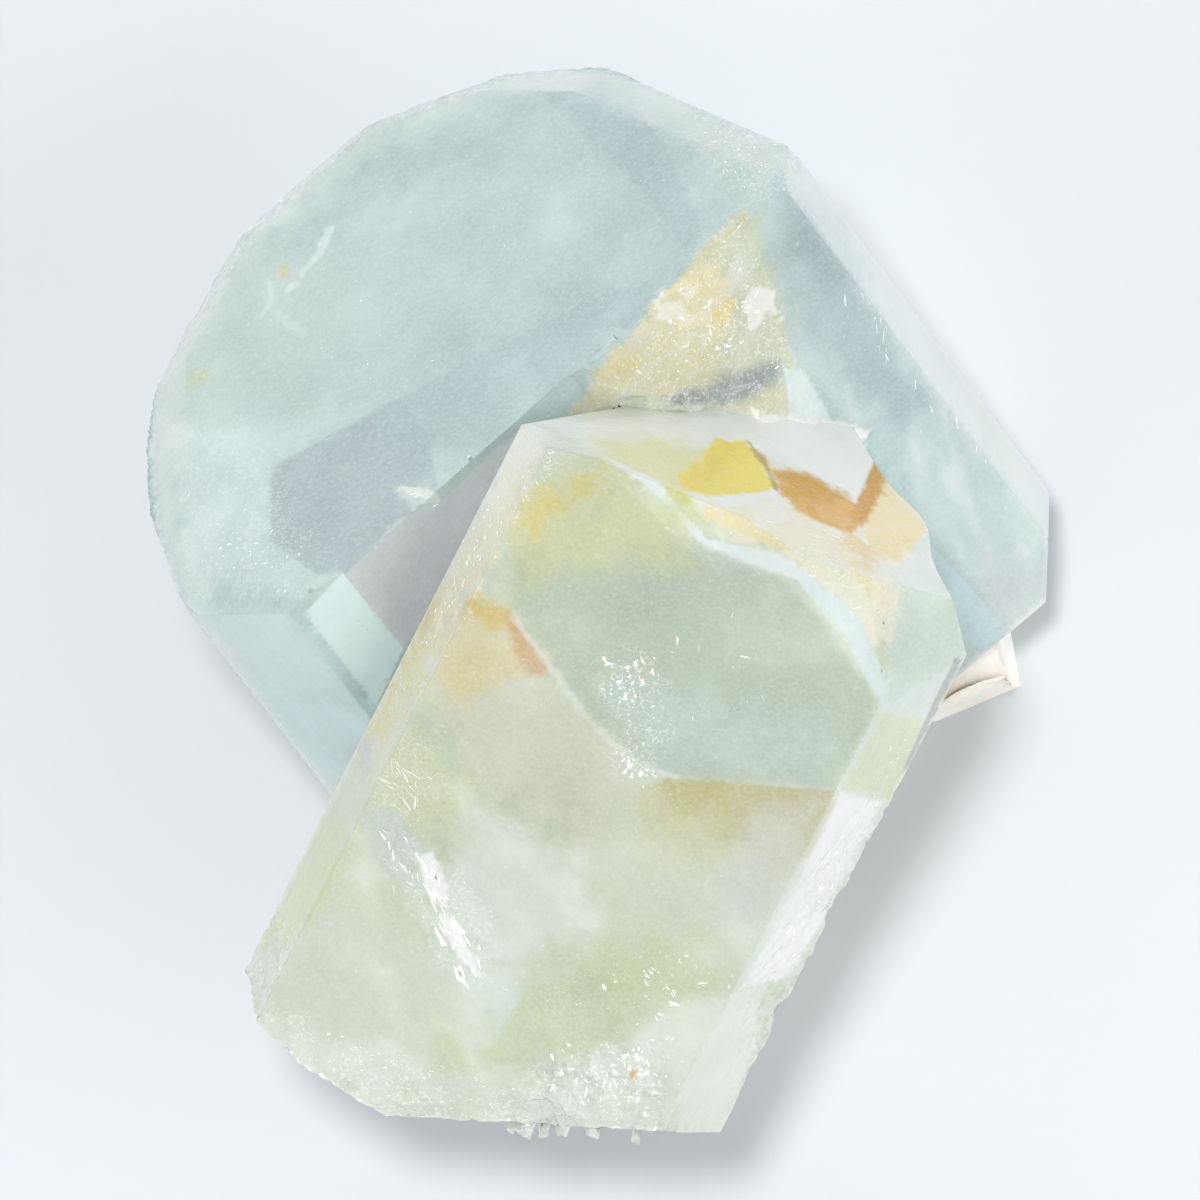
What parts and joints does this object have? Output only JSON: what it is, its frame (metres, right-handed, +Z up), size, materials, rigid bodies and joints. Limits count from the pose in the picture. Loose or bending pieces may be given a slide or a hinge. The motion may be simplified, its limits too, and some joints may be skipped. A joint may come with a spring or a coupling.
{
  "type": "aquamarine twin crystal on feldspar",
  "caption": "Pale blue beryl prism grown through by a yellow-green one, on a white feldspar matrix cut flat below.",
  "frame": {"origin": "middle of the specimen's footprint, on the surface it rests on", "axes": "+Z up; +Y towards the blue crystal's far rim, along the specimen's longest extent; +X to the side where the feldspar shows"},
  "size_m": [0.0522, 0.062, 0.044],
  "materials": {
    "aquamarine": "glossy",
    "feldspar": "satin"
  },
  "bodies": {
    "root": {"aquamarine_twin": "aquamarine", "feldspar_matrix": "feldspar"}
  },
  "joints": []
}
